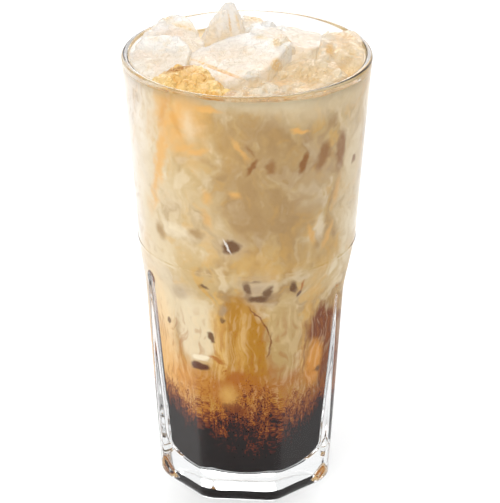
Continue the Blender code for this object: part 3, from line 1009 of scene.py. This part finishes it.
def buildCrumbs(pieces, materials):
    draw = random.Random(crumbForm["seed"])
    trees = [BVHTree.FromObject(piece, bpy.context.evaluated_depsgraph_get()) for piece in pieces]
    heaps = {kind: bmesh.new() for kind in iceKinds}
    for x, y, spread, count, kind in crumbHeaps:
        for _ in range(count):
            place = Vector((draw.gauss(x, spread / 2), draw.gauss(y, spread / 2), crumbForm["dropFrom"]))
            place *= 0.001
            size = mix(crumbForm["smallest"], crumbForm["largest"], draw.random() ** 2)
            hits = [tree.ray_cast(place, Vector((0, 0, -1)))[0] for tree in trees]
            place.z = max([levelZ] + [hit.z for hit in hits if hit]) + size * (1 - 2 * crumbForm["sunk"])
            outermost = math.hypot(place.x, place.y) + crumbForm["longest"] * size
            if outermost < boreWallRadius(place.z) - crumbForm["wallGap"]:
                addCrumb(heaps[kind], draw, place, size)
    for kind, mesh in heaps.items():
        made = meshObject(kind + "Crumbs", mesh, materials[kind], smoothAngle=28)
        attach(made, "root")


def aboveAt(column, row, z):  # the point at this height that a pixel of the photograph shows, in millimetres
    cosine, sine = math.cos(photo["lookDown"]), math.sin(photo["lookDown"])
    across = (column - photo["axisColumn"]) / photo["focalPixels"]
    up = (photo["middleRow"] - row) / photo["focalPixels"]
    ray = Vector((across, cosine + up * sine, up * cosine - sine))
    eye = Vector((0, -photo["distance"], photo["eyeHeight"]))
    return (eye + ray * ((z - eye.z) / ray.z)) * 1000


# lays the coffee tints and the painted shade of the ice marks
def tintAndShadeIce(graph, group, place, tone, patchy):
    pixel = photo["distance"] / photo["focalPixels"] * 1000
    upward = Vector((0, math.sin(photo["lookDown"]), math.cos(photo["lookDown"])))
    for name, column, row, width, height, lean, soft, strength in iceMarks:
        cosine, sine = math.cos(math.radians(lean)), math.sin(math.radians(lean))
        spot = graph.add("ShaderNodeGroup", node_tree=group)
        graph.put(spot.inputs["Chart"], place)
        spot.inputs["Centre"].default_value = aboveAt(column, row, levelZ + iceForm["tintHeight"])
        sideways = Vector((1, 0, 0))
        spot.inputs["Across"].default_value = (sideways * cosine - upward * sine) / (width * pixel / 2)
        spot.inputs["Up"].default_value = (sideways * sine + upward * cosine) / (height * pixel / 2)
        spot.inputs["Softness"].default_value = soft
        share = graph.math("MULTIPLY", graph.math("MULTIPLY", spot.outputs["Mask"], strength), patchy)
        tone = graph.blend(share, tone, iceTones[name])
    return tone


def frostGroup():  # the milky cloud inside a piece, the coffee's tint on it, and its wet, pitted skin
    tree = bpy.data.node_groups.new("frost", "ShaderNodeTree")
    for name, kind in (("Point", "Vector"), ("Tone", "Color"), ("Warm", "Color"), ("Warmth", "Float"),
                       ("DeepWarmth", "Float"), ("Above", "Float"), ("Cracks", "Float")):
        tree.interface.new_socket(name, in_out="INPUT", socket_type="NodeSocket" + kind)
    for name, kind in (("Colour", "Color"), ("Gloss", "Float"), ("Height", "Float"), ("Patchy", "Float")):
        tree.interface.new_socket(name, in_out="OUTPUT", socket_type="NodeSocket" + kind)
    graph = Graph(tree)
    given = graph.add("NodeGroupInput").outputs
    put = graph.add("NodeGroupOutput").inputs
    cloud = graph.noise(given["Point"], 0.16, detail=4, roughness=0.6, distortion=0.8)
    tinted = graph.math("MULTIPLY", graph.fade(cloud, 0.50, 0.68), given["Warmth"])
    height = graph.math("MULTIPLY_ADD", graph.math("SUBTRACT", cloud, 0.5), 5.0, given["Above"])
    deep = graph.math("MULTIPLY", graph.fade(height, 5.0, 0.4), given["DeepWarmth"])
    graph.put(put["Colour"], graph.blend(graph.math("MAXIMUM", tinted, deep), given["Tone"], given["Warm"]))
    grain = graph.noise(given["Point"], 1.6, detail=4, roughness=0.65)
    graph.put(put["Gloss"], graph.fade(grain, 0.3, 0.7, start=-0.08, end=0.12))
    pits = graph.add("ShaderNodeTexVoronoi", feature="SMOOTH_F1")
    graph.put(pits.inputs["Vector"], given["Point"])
    pits.inputs["Scale"].default_value = 0.9
    bent = graph.vector("SUBTRACT", graph.noise(given["Point"], 0.5, detail=2, out="Color"), (0.5, 0.5, 0.5))
    bent = graph.vector("ADD", given["Point"], graph.vector("MULTIPLY", bent, (3, 3, 3)))
    cracks = graph.add("ShaderNodeTexVoronoi", feature="DISTANCE_TO_EDGE")
    graph.put(cracks.inputs["Vector"], bent)
    cracks.inputs["Scale"].default_value = 0.34
    crack = graph.fade(cracks.outputs["Distance"], 0.09, 0.0)
    skin = graph.math("MULTIPLY_ADD", pits.outputs["Distance"], 0.6, grain)
    crack = graph.math("MULTIPLY", crack, given["Cracks"])
    graph.put(put["Height"], graph.math("SUBTRACT", skin, crack))
    graph.put(put["Patchy"], graph.fade(grain, 0.36, 0.58, start=0.25))
    return tree


def iceMaterial(kind, group, spotTree):
    values = iceKinds[kind]
    material, graph, shader, output = newMaterial(kind + "Ice")
    place = graph.add("ShaderNodeTexCoord").outputs["Object"]
    p = graph.vector("SCALE", place, scale=1000.0)
    frost = graph.add("ShaderNodeGroup", node_tree=group)
    graph.put(frost.inputs["Point"], p)
    frost.inputs["Tone"].default_value = values["tone"]
    frost.inputs["Warm"].default_value = values["warm"]
    frost.inputs["Warmth"].default_value = values["warmth"]
    frost.inputs["DeepWarmth"].default_value = values["deepWarmth"]
    frost.inputs["Cracks"].default_value = values["cracks"]
    graph.put(frost.inputs["Above"], graph.math("SUBTRACT", graph.split(p)[2], levelZ * 1000))
    tone = tintAndShadeIce(graph, spotTree, p, frost.outputs["Colour"], frost.outputs["Patchy"])
    graph.put(shader.inputs["Base Color"], tone)
    graph.put(shader.inputs["Roughness"], graph.math("ADD", frost.outputs["Gloss"], values["roughness"]))
    bump = graph.add("ShaderNodeBump")
    bump.inputs["Strength"].default_value = iceForm["bumpStrength"]
    bump.inputs["Distance"].default_value = iceForm["bumpDistance"]
    graph.put(bump.inputs["Height"], frost.outputs["Height"])
    graph.put(shader.inputs["Normal"], bump.outputs[0])
    shader.inputs["Transmission Weight"].default_value = values["transmission"]
    shader.inputs["IOR"].default_value = iceForm["refraction"]
    passing = graph.add("ShaderNodeBsdfTransparent")
    passing.inputs["Color"].default_value = iceForm["shadowTone"]
    letLightThrough(graph, shader.outputs[0], passing.outputs[0], output)
    return material


def buildIce():
    group = frostGroup()
    spotTree = bpy.data.node_groups["wallSpot"]
    materials = {kind: iceMaterial(kind, group, spotTree) for kind in iceKinds}
    made = [buildIcePiece(piece, materials[piece["kind"]]) for piece in icePieces]
    buildCrumbs(made, materials)


buildIce()
print("ice built")

# Light passes many faces of glass and ice before it reaches the drink.
scene.cycles.use_denoising = True
scene.cycles.max_bounces = 24
scene.cycles.transmission_bounces = 20
scene.cycles.glossy_bounces = 8
scene.cycles.diffuse_bounces = 3
scene.cycles.transparent_max_bounces = 24
scene.view_settings.view_transform = "Standard"
